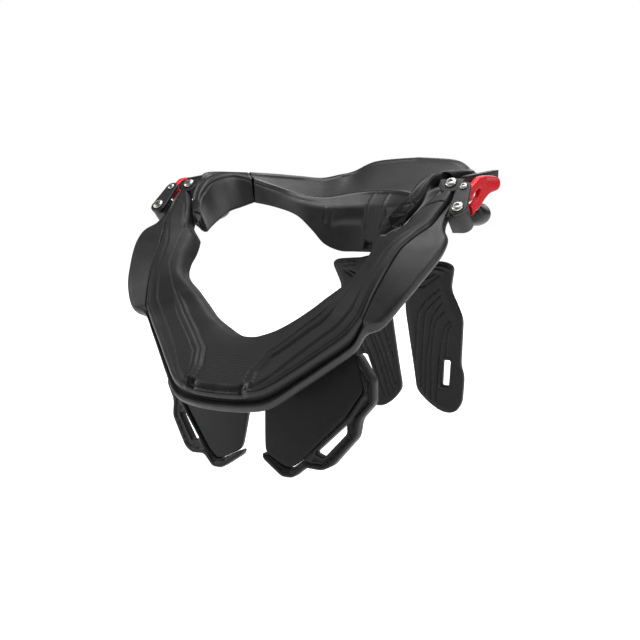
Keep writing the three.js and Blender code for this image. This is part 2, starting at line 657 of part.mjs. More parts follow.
// Upper edge of the panel, under the chassis: its heights are shares of the hinge height.
const panelTop = [[0.075, 0.436], [0.25, 0.462], [0.45, 0.497], [0.65, 0.54], [0.78, 0.54]];
const panelEdge = [[0.825, 0.99], [0.915, 0.718], [0.787, 0.498], [0.451, 0.133], [0.365, 0.068],
  [0.305, 0.071], [0.151, 0.157]];
const panelSide = [[0.094, 0.33], [0.073, 0.54]];
const rimEdge = [[0.855, 0.985], [0.982, 0.803], [1, 0.615], [0.901, 0.486], [0.891, 0.351], [0.707, 0.117],
  [0.626, 0.078], [0.491, 0.089], [0.388, 0], [0.291, 0], [0.103, 0.124], [0.095, 0.172]];
const strapSlot = [[0.557, 0.207], [0.634, 0.177], [0.807, 0.380], [0.798, 0.453]];

function legPanel() {
  const inset = GAP / LEG_WIDTH;
  const edge = panelEdge.map(([x, z]) => [x - inset, z + inset * 1.5]);
  const top = panelTop.map(([x, z]) => [x * LEG_WIDTH, z * HINGE_HEIGHT]);
  const plate = bentPlate(
    [...top, ...legSized([...edge, ...panelSide])], [], legFront, PANEL_INSET, PANEL_INSET + PANEL_THICK
  );
  return toGeometry(cut(toSolid(plate), loft(bothSides(frontRows.map((row) => frameRing(row, GAP))))));
}

function legRim() {
  const band = [...rimEdge, ...panelEdge.slice().reverse()];
  return bentPlate(legSized(band), [legSized(strapSlot)], legFront, 0, RIM_THICK);
}

addPair('leg_panel', legPanel(), shell);
addPair('leg_rim', legRim(), rim);

// Back paddles and the strut that carries them. Outline points are shares of the paddle's
// width from the middle of the brace and of its height.

function paddleFront(_, z) {
  return PADDLE_FOOT - PADDLE_LEAN * z;
}

const paddleOutline = [[0.24, 1.02], [0.87, 1], [0.962, 0.971], [0.866, 0.826], [0.95, 0.72], [1, 0.639],
  [0.875, 0.334], [0.906, 0.262], [0.82, 0.074], [0.68, 0], [0.48, 0], [0.287, 0.058], [0.12, 0.141],
  [0.125, 0.3], [0.12, 0.68]];
const paddleSlot = [[0.62, 0.362], [0.73, 0.362], [0.65, 0.19], [0.545, 0.19]];

function sized(points) {
  return points.map(([x, z]) => [x * PADDLE_WIDTH, z * PADDLE_HEIGHT]);
}

function backPaddle() {
  return bentPlate(sized(paddleOutline), [sized(paddleSlot)], paddleFront, 0, PADDLE_THICK);
}

addPair('back_paddle', backPaddle(), foam);

function backStrut() {
  const low = PADDLE_HEIGHT - STRUT_LAP;
  const neck = PADDLE_HEIGHT + STRUT_SHOULDER;
  const top = HINGE_HEIGHT - STRUT_TOP;
  const half = [[STRUT_FOOT_HALF_WIDTH, low], [STRUT_FOOT_HALF_WIDTH, PADDLE_HEIGHT], [STRUT_HALF_WIDTH, neck],
    [STRUT_HALF_WIDTH, top]];
  const points = [...half, ...half.map(([x, z]) => [-x, z]).reverse()];
  const plate = bentPlate(points, [], paddleFront, PADDLE_THICK + GAP, PADDLE_THICK + GAP + STRUT_THICK);
  const room = bothSides(smoothRows(tableSections, 2).map((row) => rearRing(row, TABLE_THICK + GAP)));
  return toGeometry(cut(toSolid(plate), loft(room)));
}

add('back_strut', backStrut(), shell);

// Stand the brace on the floor, centred on its footprint.
const box = new THREE.Box3().setFromObject(brace, true);
brace.position.set(0, -(box.min.y + box.max.y) / 2, -box.min.z);

export default brace;
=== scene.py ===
"""Looks for the motocross neck brace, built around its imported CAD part.

Sizes are in millimetres until a mesh is made, in the row frame: +X the wearer's left,
+Y the wearer's back, +Z up. The hinge plane slopes up to the back through both hinge
pins: i runs across, j up the slope from the pins, k off it.
"""

import json
import math

import bmesh
import bpy
import numpy as np
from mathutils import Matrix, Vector
from mathutils.geometry import delaunay_2d_cdt


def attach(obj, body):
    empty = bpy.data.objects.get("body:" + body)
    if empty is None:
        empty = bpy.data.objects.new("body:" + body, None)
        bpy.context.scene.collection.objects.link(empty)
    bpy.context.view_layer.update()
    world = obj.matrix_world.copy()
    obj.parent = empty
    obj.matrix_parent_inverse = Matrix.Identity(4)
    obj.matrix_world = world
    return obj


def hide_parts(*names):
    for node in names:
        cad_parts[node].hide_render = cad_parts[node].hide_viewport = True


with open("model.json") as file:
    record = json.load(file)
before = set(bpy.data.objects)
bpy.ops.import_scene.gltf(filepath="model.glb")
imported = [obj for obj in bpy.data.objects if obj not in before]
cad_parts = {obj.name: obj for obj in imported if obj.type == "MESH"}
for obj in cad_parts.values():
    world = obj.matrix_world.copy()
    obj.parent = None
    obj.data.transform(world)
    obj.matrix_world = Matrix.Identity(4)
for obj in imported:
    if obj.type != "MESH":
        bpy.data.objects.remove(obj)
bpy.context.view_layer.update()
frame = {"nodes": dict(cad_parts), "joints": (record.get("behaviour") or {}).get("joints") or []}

MM = 0.001

# Sizes shared with the CAD part

PIN_HALF_SPAN = 120.0
HINGE_HEIGHT = 214.6
FRONT_TILT = math.radians(44)
FRONT_DROP = 200.0
BACK_REACH = 205.0
PAD_THICK = 9.0
FRAME_THICK = 9.0
FRAME_KEEL = 5.0
FRAME_LIP = 7.0
TABLE_THICK = 12.0
ARM_PAD_THICK = 10.0
GAP = 0.3
LATCH_PIN = (135.2, -28.3)
LEVER_PIN = (133.2, -7.0)
LINK_THICK = 3.0
LINK_RADIUS = 7.0
LINK_TIP_RADIUS = 5.5
LEVER_THICK = 5.0
LEVER_REACH = 44.4
LEVER_HEIGHT = 29.5
LEVER_DROP = 23.7
LEVER_SPLAY = 0.09
BARREL_RADIUS = 4.7
BARREL_DEPTH = 9.0
BOSS_RADIUS = 9.2
BOSS_WALL = 12.8
LEG_LENGTH = 91.0
LEG_WRAP = 0.0013
LEG_LEAN = 0.17
LEG_WIDTH = 92.7
RIM_THICK = 9.0
PANEL_THICK = 4.0
PANEL_INSET = 2.0
PADDLE_FOOT = 190.0
PADDLE_LEAN = 0.338
PADDLE_HEIGHT = 146.0
PADDLE_WIDTH = 64.0
PADDLE_THICK = 7.0

# Sizes that only the looks use

LATCH_BORE = 2.85
LEVER_BORE = 1.98
NECK_ROUND = 7.0
OUTER_ROUND = 3.2
PAD_CROWN = 2.5
PAD_INSET = 3.0
LINE_PITCH = 1.5
ARM_LENGTH = 105
TIP_LENGTH = 2.2
TIP_SHARES = (0.08, 0.3, 0.55, 0.75, 0.9)
COVER_ROOM_LEVELS = (-54.0, 12.8)
HEAD_RADIUS = 4.6
HEAD_HEIGHT = 2.4
SHANK_RADIUS = 2.5
CORNER_POINTS = 6
SOLID_SHARP = 38.0

SHIFT = frame["joints"][0]["pos_m"][1] / MM  # hinge pins, from the middle of the footprint
REAR_SIZE = np.array([PIN_HALF_SPAN, BACK_REACH, HINGE_HEIGHT])

# front sections: inner i, j, k; outer i, j, k; chassis edge i, j, k; share of shell
FRONT = [
    [0.963, -0.049, 0.0, 1.033, -0.046, 0.0, 1.060, -0.043, 0.0, 1],
    [0.883, -0.105, 0.0, 1.038, -0.085, 0.0, 1.060, -0.085, 0.0, 1],
    [0.817, -0.180, 0.0, 1.017, -0.165, 0.2, 1.058, -0.170, 0.0, 1],
    [0.788, -0.228, 0.0, 0.996, -0.230, 0.4, 1.079, -0.230, 0.1, 1],
    [0.683, -0.292, 0.0, 0.950, -0.280, 0.6, 1.125, -0.275, 0.3, 1],
    [0.663, -0.315, 0.0, 0.920, -0.325, 0.8, 1.138, -0.310, 0.35, 1],
    [0.650, -0.360, 0.0, 0.888, -0.375, 0.9, 1.129, -0.370, 0.35, 1],
    [0.642, -0.410, 0.1, 0.858, -0.475, 0.8, 1.079, -0.465, 0.3, 1],
    [0.596, -0.490, 0.0, 0.823, -0.570, 0.4, 1.008, -0.572, 0.1, 1],
    [0.489, -0.540, -0.5, 0.792, -0.650, -0.2, 0.912, -0.660, -0.5, 1],
    [0.458, -0.555, -0.6, 0.775, -0.668, -0.4, 0.804, -0.678, -0.9, 0.5],
    [0.384, -0.590, -0.95, 0.712, -0.718, -0.9, 0.733, -0.733, -1.75, 0],
    [0.280, -0.640, -1.3, 0.587, -0.800, -1.1, 0.608, -0.818, -1.95, 0],
    [0.169, -0.672, -1.75, 0.458, -0.885, -1.2, 0.479, -0.905, -2.05, 0],
    [0.083, -0.697, -1.8, 0.317, -0.968, -1.25, 0.337, -0.992, -2.15, 0],
    [0.042, -0.705, -1.8, 0.167, -0.995, -1.3, 0.177, -1.020, -2.2, 0],
    [0.000, -0.707, -1.8, 0.000, -1.000, -1.35, 0.000, -1.025, -2.25, 0],
]

# rear sections, as shares of REAR_SIZE: low x, y, z; ridge x, y, z; edge x, y, z
ARM = [
    [0.633, -0.172, 0.815, 0.700, -0.160, 0.885, 0.800, -0.140, 0.893],
    [0.667, -0.098, 0.843, 0.785, -0.107, 0.958, 0.872, -0.070, 0.964],
    [0.692, -0.020, 0.867, 0.803, -0.022, 1.012, 0.900, 0.003, 1.029],
    [0.717, 0.068, 0.892, 0.813, 0.080, 1.038, 1.000, 0.107, 1.043],
    [0.717, 0.146, 0.906, 0.815, 0.185, 1.045, 1.015, 0.205, 1.048],
    [0.706, 0.232, 0.925, 0.757, 0.257, 1.026, 0.881, 0.345, 1.048],
]
TABLE = [
    [0.705, 0.233, 0.925, 0.739, 0.258, 1.016, 0.880, 0.346, 1.048],
    [0.617, 0.322, 0.904, 0.667, 0.361, 0.979, 0.817, 0.507, 1.044],
    [0.517, 0.390, 0.871, 0.550, 0.420, 0.946, 0.750, 0.649, 1.037],
    [0.417, 0.420, 0.811, 0.400, 0.463, 0.930, 0.642, 0.741, 1.030],
    [0.333, 0.439, 0.755, 0.300, 0.498, 0.932, 0.550, 0.820, 1.046],
    [0.217, 0.454, 0.727, 0.200, 0.537, 0.944, 0.508, 0.912, 1.062],
    [0.100, 0.459, 0.725, 0.100, 0.561, 0.946, 0.350, 0.966, 1.107],
    [0.000, 0.459, 0.725, 0.000, 0.566, 0.946, 0.000, 1.000, 1.123],
]
# shoulder pad: x, y, z, half width, half height
SHOULDER = [
    [1.035, 0.105, 0.899, 0.035, 0.018],
    [1.040, 0.125, 0.896, 0.085, 0.038],
    [1.040, 0.185, 0.890, 0.100, 0.042],
    [1.010, 0.235, 0.898, 0.080, 0.036],
    [0.995, 0.255, 0.902, 0.035, 0.018],
]
PANEL_TOP = [[0.075, 1.01], [0.25, 1.07], [0.45, 1.15], [0.65, 1.25], [0.78, 1.25]]
PANEL_EDGE = [[0.825, 0.99], [0.915, 0.718], [0.787, 0.498], [0.451, 0.133], [0.365, 0.068],
              [0.305, 0.071], [0.118, 0.165]]
PANEL_SIDE = [[0.094, 0.33], [0.073, 0.54]]
RIM_EDGE = [[0.855, 0.985], [0.982, 0.803], [1, 0.615], [0.901, 0.486], [0.891, 0.351],
            [0.707, 0.117], [0.626, 0.078], [0.491, 0.089], [0.388, 0], [0.291, 0],
            [0.103, 0.124], [0.095, 0.172]]
STRAP_SLOT = [[0.557, 0.207], [0.634, 0.177], [0.807, 0.380], [0.798, 0.453]]
PADDLE = [[0.24, 1.02], [0.87, 1], [0.962, 0.971], [0.866, 0.826], [0.95, 0.72], [1, 0.639],
          [0.875, 0.334], [0.906, 0.262], [0.82, 0.074], [0.68, 0], [0.48, 0], [0.287, 0.058],
          [0.12, 0.141], [0.125, 0.3], [0.12, 0.68]]
PADDLE_SLOT = [[0.62, 0.362], [0.73, 0.362], [0.65, 0.19], [0.545, 0.19]]
# lever seen from its side: y as a share of its reach, z of its height
LEVER = [[-0.032, 0.715], [0.137, 0.861], [0.286, 0.963], [0.615, 1], [0.923, 0.953],
         [1, 0.783], [0.908, 0.631], [0.628, 0.546], [0.421, 0.383], [0.243, 0.186],
         [0.081, 0.078], [0.009, 0], [-0.018, 0.125], [-0.023, 0.22], [0.068, 0.295],
         [0.207, 0.444], [0.279, 0.62], [0.234, 0.671], [0.126, 0.607], [0, 0.478],
         [-0.099, 0.376], [-0.113, 0.424], [-0.068, 0.566]]


# Numbers

def ease(x):
    x = np.clip(x, 0, 1)
    return x * x * (3 - 2 * x)


def off_plane(i, j, k):
    """Points of the row frame from their places on and off the hinge plane."""
    i, j, k = np.broadcast_arrays(i, j, k)
    return np.stack([
        i,
        j * math.cos(FRONT_TILT) - k * math.sin(FRONT_TILT) + SHIFT,
        HINGE_HEIGHT + j * math.sin(FRONT_TILT) + k * math.cos(FRONT_TILT),
    ], -1)


def smooth_rows(rows, steps=16):
    """Rows in between the rows of a table, on the same curve as the CAD solids."""
    rows = np.array(rows, float)
    out = []
    for r in range(len(rows) - 1):
        p0, p1, p2, p3 = rows[max(r - 1, 0)], rows[r], rows[r + 1], rows[min(r + 2, len(rows) - 1)]
        m1, m2 = (p2 - p0) / 2, (p3 - p1) / 2
        for s in range(steps):
            t = s / steps
            bend, rise = 2 * p1 - 2 * p2 + m1 + m2, 3 * (p2 - p1) - 2 * m1 - m2
            out.append(((bend * t + rise) * t + m1) * t + p1)
    out.append(rows[-1])
    return np.array(out)


def even_rows(rows, path, count):
    """The same rows at even distances along path, one point a row."""
    far = np.r_[0, np.cumsum(np.linalg.norm(np.diff(path, axis=0), axis=1))]
    pick = np.linspace(0, far[-1], count)
    return np.stack([np.interp(pick, far, rows[:, c]) for c in range(rows.shape[1])], -1)


def near_line(points, line):
    """Distance of 2-D points from a polyline, and how far along it the nearest place is."""
    line = np.array(line, float)
    best = np.full(points.shape[:-1], 1e9)
    along = np.zeros(points.shape[:-1])
    start = 0.0
    for a, b in zip(line[:-1], line[1:]):
        d = b - a
        length = math.hypot(*d)
        t = np.clip(((points - a) @ d) / (length * length), 0, 1)
        miss = np.linalg.norm(points - a - t[..., None] * d, axis=-1)
        closer = miss < best
        best = np.where(closer, miss, best)
        along = np.where(closer, start + t * length, along)
        start += length
    return best, along


def groove(far, half, depth):
    return -depth * ease(1 - far / half)


def bead(far, half, height, shoulder):
    return height * ease((half - far) / shoulder)


def rounded(corners, radii, per_corner, per_edge=None):
    """Closed rings (rings, corners, 3) with each corner turned into a small curve."""
    rings, count, _ = corners.shape
    ahead = np.roll(corners, -1, axis=1)
    behind = np.roll(corners, 1, axis=1)
    to_ahead, to_behind = ahead - corners, behind - corners
    len_ahead = np.linalg.norm(to_ahead, axis=2, keepdims=True) + 1e-9
    len_behind = np.linalg.norm(to_behind, axis=2, keepdims=True) + 1e-9
    radii = np.broadcast_to(np.array(radii, float), (rings, count))[..., None]
    start = corners + to_behind / len_behind * np.minimum(radii, len_behind * 0.45)
    end = corners + to_ahead / len_ahead * np.minimum(radii, len_ahead * 0.45)
    out = []
    for c in range(count):
        for t in np.linspace(0, 1, per_corner):
            bow = 2 * t * (1 - t) * corners[:, c]
            out.append((1 - t) ** 2 * start[:, c] + bow + t * t * end[:, c])
        after = start[:, (c + 1) % count]
        extra = per_edge[c] if per_edge else 0
        for n in range(1, extra + 1):
            out.append(end[:, c] + (after - end[:, c]) * n / (extra + 1))
    return np.stack(out, 1)


def ring_normals(rings):
    """Outward unit normals at a loft's points."""
    along = np.gradient(rings, axis=0)
    around = np.roll(rings, -1, axis=1) - np.roll(rings, 1, axis=1)
    normal = np.cross(around, along)
    normal /= np.linalg.norm(normal, axis=2, keepdims=True) + 1e-12
    centre = rings.mean(axis=1, keepdims=True)
    inward = ((rings - centre) * normal).sum() < 0
    return -normal if inward else normal


def both_sides(rings):
    """Rings of the right half, up to the middle, and then their mirror images."""
    other = rings[:-1][::-1].copy()
    other[..., 0] *= -1
    return np.concatenate([rings, other])


def both_halves(values):
    """The same for a value at each point."""
    return np.concatenate([values, values[:-1][::-1]])


def full_turn(sides):
    return np.linspace(0, 2 * math.pi, sides, endpoint=False)


# Meshes

def placed(name, data):
    """A new object in the scene."""
    made = bpy.data.objects.new(name, data)
    bpy.context.scene.collection.objects.link(made)
    return made


def finish_mesh(name, points, faces, material, sharp, marks=None):
    mesh = bpy.data.meshes.new(name)
    mesh.from_pydata([tuple(p) for p in np.asarray(points) * MM], [], [tuple(f) for f in faces])
    for mark, values in (marks or {}).items():
        attribute = mesh.attributes.new(mark, "FLOAT", "POINT")
        attribute.data.foreach_set("value", np.asarray(values, np.float32).ravel())
    mesh.validate()
    settle(mesh, sharp)
    mesh.materials.append(material)
    return placed(name, mesh)


def settle(mesh, sharp):
    """Faces outward, and smooth shading with sharp edges above an angle."""
    bm = bmesh.new()
    bm.from_mesh(mesh)
    bmesh.ops.recalc_face_normals(bm, faces=bm.faces)
    limit = math.radians(sharp)
    for edge in bm.edges:
        edge.smooth = not edge.is_manifold or edge.calc_face_angle(0) < limit
    for face in bm.faces:
        face.smooth = True
    bm.to_mesh(mesh)
    bm.free()


def loft(name, rings, material, sharp=35.0, marks=None):
    count, size, _ = rings.shape
    index = np.arange(count * size).reshape(count, size)
    a, b = index[:-1], np.roll(index[:-1], -1, axis=1)
    c, d = np.roll(index[1:], -1, axis=1), index[1:]
    faces = np.stack([a, b, c, d], -1).reshape(-1, 4).tolist()
    faces += [index[0][::-1].tolist(), index[-1].tolist()]
    return finish_mesh(name, rings.reshape(-1, 3), faces, material, sharp, marks)


def even_loop(corners, pitch, radius=0.0):
    """Closed 2-D outline with rounded corners, cut into steps of about pitch."""
    ring = np.array([[x, y, 0.0] for x, y in corners])[None]
    if radius:
        ring = rounded(ring, radius, 7)
    ring = ring[0, :, :2]
    closed = np.vstack([ring, ring[:1]])
    far = np.r_[0, np.cumsum(np.linalg.norm(np.diff(closed, axis=0), axis=1))]
    steps = max(8, int(round(far[-1] / pitch)))
    pick = np.linspace(0, far[-1], steps + 1)[:-1]
    return np.stack([np.interp(pick, far, closed[:, 0]), np.interp(pick, far, closed[:, 1])], -1)


def inside(points, loops):
    hit = np.zeros(len(points), bool)
    for loop in loops:
        for a, b in zip(loop, np.roll(loop, -1, axis=0)):
            crosses = (a[1] > points[:, 1]) != (b[1] > points[:, 1])
            rise = b[1] - a[1] if b[1] != a[1] else 1e-12
            hit ^= crosses & (points[:, 0] < (b[0] - a[0]) * (points[:, 1] - a[1]) / rise + a[0])
    return hit


def edge_distance(points, loops):
    far = np.full(len(points), 1e9)
    for loop in loops:
        far = np.minimum(far, near_line(points, np.vstack([loop, loop[:1]]))[0])
    return far


def plate(name, loops, thick, place, material, edge_round, relief=None, back=None, *, pitch):
    """Plate of an outline and its holes, with rounded edges and low relief on its faces.

    place(u, v, depth) puts a point in the row frame, depth running into the plate from its
    front. relief(points, distance to the rim) raises the front, and back the other face.
    """
    kept = [np.vstack(loops)]
    for share in (0.12, 0.35, 0.65, 1.0):
        step = share * edge_round
        for loop in loops:
            tangent = np.roll(loop, -1, axis=0) - np.roll(loop, 1, axis=0)
            normal = np.stack([-tangent[:, 1], tangent[:, 0]], -1)
            normal /= np.linalg.norm(normal, axis=1, keepdims=True)
            for side in (1, -1):
                moved = loop + normal * side * step
                moved = moved[inside(moved, loops)]
                if len(moved):
                    kept.append(moved[edge_distance(moved, loops) > step * 0.9])
    low, high = kept[0].min(0), kept[0].max(0)
    grid = np.meshgrid(*(np.arange(low[n], high[n], pitch) for n in (0, 1)))
    grid = np.stack(grid, -1).reshape(-1, 2)
    grid = grid[inside(grid, loops)]
    grid = grid[edge_distance(grid, loops) > edge_round + pitch * 0.5]
    points = np.vstack([*kept, grid])
    edges, start = [], 0
    for loop in loops:
        edges += [(start + n, start + (n + 1) % len(loop)) for n in range(len(loop))]
        start += len(loop)
    found = delaunay_2d_cdt([Vector(p) for p in points], edges, [], 0, 1e-7)
    flat = np.array([tuple(v) for v in found[0]])
    tris = np.array([f for f in found[2] if len(f) == 3])
    tris = tris[inside(flat[tris].mean(1), loops)]
    far = edge_distance(flat, loops)
    on_rim = far < 1e-4
    short = edge_round - np.minimum(far, edge_round)
    dip = edge_round - np.sqrt(np.maximum(edge_round ** 2 - short ** 2, 0))
    raised = relief(flat, far) if relief else np.zeros(len(flat))
    behind = back(flat, far) if back else np.zeros(len(flat))
    front = place(flat[:, 0], flat[:, 1], dip - np.where(on_rim, 0, raised))
    rear = place(flat[:, 0], flat[:, 1], thick - dip + np.where(on_rim, 0, behind))
    count = len(flat)
    faces = [tuple(t) for t in tris] + [tuple(t[::-1] + count) for t in tris]
    sides = {}
    for t in tris:
        for a, b in ((t[0], t[1]), (t[1], t[2]), (t[2], t[0])):
            sides[(a, b)] = sides.get((a, b), 0) + 1
    faces += [(b, a, a + count, b + count) for a, b in sides if (b, a) not in sides]
    return finish_mesh(name, np.vstack([front, rear]), faces, material, 40.0)


def mirrored(piece, name):
    mesh = piece.data.copy()
    mesh.name = name
    points = np.zeros(len(mesh.vertices) * 3)
    mesh.vertices.foreach_get("co", points)
    points = points.reshape(-1, 3)
    points[:, 0] *= -1
    mesh.vertices.foreach_set("co", points.ravel())
    mesh.flip_normals()
    return placed(name, mesh)


def refined(cad_node, name, material, width):
    """Copy of a CAD node with merged faces and rounded edges."""
    mesh = frame["nodes"][cad_node].data.copy()
    mesh.name = name
    bm = bmesh.new()
    bm.from_mesh(mesh)
    bmesh.ops.remove_doubles(bm, verts=bm.verts, dist=2e-6)
    bmesh.ops.dissolve_limit(bm, angle_limit=math.radians(1.0), verts=bm.verts, edges=bm.edges)
    limit = math.radians(24)
    hard = [e for e in bm.edges if e.is_manifold and e.calc_face_angle(0) > limit]
    bmesh.ops.bevel(bm, geom=hard, offset=width * MM, offset_type="OFFSET", segments=3,
                    profile=0.5, affect="EDGES", clamp_overlap=True)
    bmesh.ops.triangulate(bm, faces=[f for f in bm.faces if len(f.verts) > 4])
    bm.to_mesh(mesh)
    bm.free()
    mesh.materials.clear()
    settle(mesh, SOLID_SHARP)
    mesh.materials.append(material)
    return placed(name, mesh)


def combined(piece, operation, other):
    """A piece with another one joined to it (UNION) or cut from it (DIFFERENCE)."""
    step = piece.modifiers.new("combine", "BOOLEAN")
    step.operation, step.solver, step.object = operation, "EXACT", other
    bpy.context.view_layer.update()
    graph = bpy.context.evaluated_depsgraph_get()
    mesh = bpy.data.meshes.new_from_object(piece.evaluated_get(graph))
    piece.modifiers.clear()
    piece.data = mesh
    settle(mesh, SOLID_SHARP)
    bpy.data.objects.remove(other)
    return piece


# Materials

def shader(name, color, roughness, specular=0.5, metallic=0.0):
    material = bpy.data.materials.new(name)
    material.use_nodes = True
    tree = material.node_tree
    bsdf = tree.nodes["Principled BSDF"]
    bsdf.inputs["Base Color"].default_value = (*color, 1)
    bsdf.inputs["Roughness"].default_value = roughness
    bsdf.inputs["Metallic"].default_value = metallic
    bsdf.inputs["Specular IOR Level"].default_value = specular
    return material, tree, bsdf


def node(tree, kind, **inputs):
    """A new shader node: _name sets a property, i and a number an input by its place."""
    made = tree.nodes.new(kind)
    for key, value in inputs.items():
        if key.startswith("_"):
            setattr(made, key[1:], value)
            continue
        by_place = key[0] == "i" and key[1:].isdigit()
        socket = made.inputs[int(key[1:]) if by_place else key]
        if isinstance(value, bpy.types.NodeSocket):
            tree.links.new(value, socket)
        else:
            socket.default_value = value
    return made


def noise(tree, where, scale, detail, rough=0.55):
    made = node(tree, "ShaderNodeTexNoise", Vector=where, Scale=scale, Detail=detail,
                Roughness=rough)
    return made.outputs["Fac"]


def spread(tree, value, low, high):
    """The middle of a noise's range, spread from low to high."""
    made = node(tree, "ShaderNodeMapRange", Value=value, i1=0.3, i2=0.7, i3=low, i4=high)
    return made.outputs[0]


def mark_value(tree, mark):
    return node(tree, "ShaderNodeAttribute", _attribute_name=mark).outputs["Fac"]


def math_node(tree, operation, a, b=0.0, c=0.0):
    return node(tree, "ShaderNodeMath", _operation=operation, i0=a, i1=b, i2=c).outputs[0]


def add_bump(tree, bsdf, height, depth, strength):
    bump = node(tree, "ShaderNodeBump", Strength=strength, Distance=depth * MM, Height=height)
    tree.links.new(bump.outputs[0], bsdf.inputs["Normal"])


def moulded(name, color, roughness, grain, grain_depth, vary, specular, lines=False):
    """Moulded plastic or foam skin: fine grain, and slow changes of shade and gloss."""
    material, tree, bsdf = shader(name, color, roughness, specular)
    where = node(tree, "ShaderNodeTexCoord").outputs["Object"]
    slow = noise(tree, where, 28.0, 2.0)
    fine = noise(tree, where, grain, 3.0, 0.6)
    patch = noise(tree, where, 140.0, 3.0)
    ramp = spread(tree, slow, 1 - vary, 1 + vary)
    tinted = node(tree, "ShaderNodeVectorMath", _operation="SCALE", i0=color, Scale=ramp)
    tree.links.new(tinted.outputs[0], bsdf.inputs["Base Color"])
    rough = spread(tree, patch, roughness * 0.9, roughness * 1.1)
    cut = math_node(tree, "MULTIPLY_ADD", mark_value(tree, "gloss"), -0.5, 1.0)
    tree.links.new(math_node(tree, "MULTIPLY", rough, cut), bsdf.inputs["Roughness"])
    height = math_node(tree, "MULTIPLY", fine, 0.35)
    if lines:
        slope = node(tree, "ShaderNodeVectorMath", _operation="DOT_PRODUCT", i0=where,
                     i1=(0, math.cos(FRONT_TILT), math.sin(FRONT_TILT))).outputs["Value"]
        turn = math_node(tree, "MULTIPLY", slope, 2 * math.pi / (LINE_PITCH * MM))
        mask = math_node(tree, "MULTIPLY", mark_value(tree, "lines"), 0.5)
        height = math_node(tree, "MULTIPLY_ADD", math_node(tree, "SINE", turn), mask, height)
    add_bump(tree, bsdf, height, grain_depth, 1.0)
    return material


def polished_steel():
    material, tree, bsdf = shader("stainless_steel", (0.47, 0.46, 0.44), 0.30, metallic=1.0)
    smear = noise(tree, node(tree, "ShaderNodeTexCoord").outputs["Object"], 700.0, 4.0, 0.7)
    tree.links.new(spread(tree, smear, 0.22, 0.42), bsdf.inputs["Roughness"])
    add_bump(tree, bsdf, smear, 0.02, 0.4)
    return material


# colour, roughness, grain's scale and depth, change of shade, specular
PAD_FOAM = moulded("pad_foam", (0.0105, 0.0105, 0.0112), 0.54, 1100, 0.08, 0.2, 0.34, lines=True)
ARM_FOAM = moulded("arm_foam", (0.011, 0.011, 0.0116), 0.42, 1100, 0.08, 0.2, 0.30)
SATIN = moulded("satin_plastic", (0.015, 0.015, 0.0158), 0.46, 1700, 0.05, 0.15, 0.42)
TABLE_SATIN = moulded("table_plastic", (0.016, 0.016, 0.0168), 0.46, 1700, 0.05, 0.15, 0.40)
DEEP = moulded("panel_plastic", (0.006, 0.006, 0.0065), 0.42, 1700, 0.04, 0.15, 0.36)
TRIM = moulded("soft_trim", (0.011, 0.011, 0.0116), 0.46, 1300, 0.06, 0.2, 0.34)
PADDLE_SKIN = moulded("paddle_skin", (0.007, 0.007, 0.0078), 0.46, 1100, 0.08, 0.2, 0.22)
RED = moulded("red_plastic", (0.93, 0.010, 0.024), 0.38, 900, 0.02, 0.04, 0.35)
STEEL = polished_steel()


# Front pad and chassis

RIDGE = [(76.5, -108), (73.9, -115), (59, -133), (44, -148.5), (30.3, -163.5), (24.8, -179),
         (24.9, -195)]
TONGUE_ARC = [(134, -19), (127, -20.5), (117, -21), (110, -25), (106, -33), (101, -44), (95, -54)]
# i where the pad's middle panel ends, and the width of its outer margin, each at some j
MIDDLE_END = ([-196, -179, -163.5, -148.5, -133, -115, -95, -60],
              [25, 25, 30.3, 44, 59, 74, 86, 92])
MARGIN = ([-197, -190, -180, -165, -145, -130, -75, -40], [4.5, 6, 8, 10, 11, 11, 9, 6])


def front_columns(count):
    dense = smooth_rows(FRONT)
    dense = dense * np.array([PIN_HALF_SPAN, FRONT_DROP, PAD_THICK] * 3 + [1.0])
    return even_rows(dense, (dense[:, 0:3] + dense[:, 3:6]) / 2, count)


def front_width(rows):
    """Width of each section from the neck edge to the outer edge, as a column."""
    return np.hypot(rows[:, 3] - rows[:, 0], rows[:, 4] - rows[:, 1])[:, None]


def across(rows, distance, level):
    """Points of the front's sections, at a distance from the neck edge and a level off it."""
    inner, outer = rows[:, None, 0:3], rows[:, None, 3:6]
    point = inner + (outer - inner) * (distance / front_width(rows))[..., None]
    return point[..., 0], point[..., 1], point[..., 2] + level


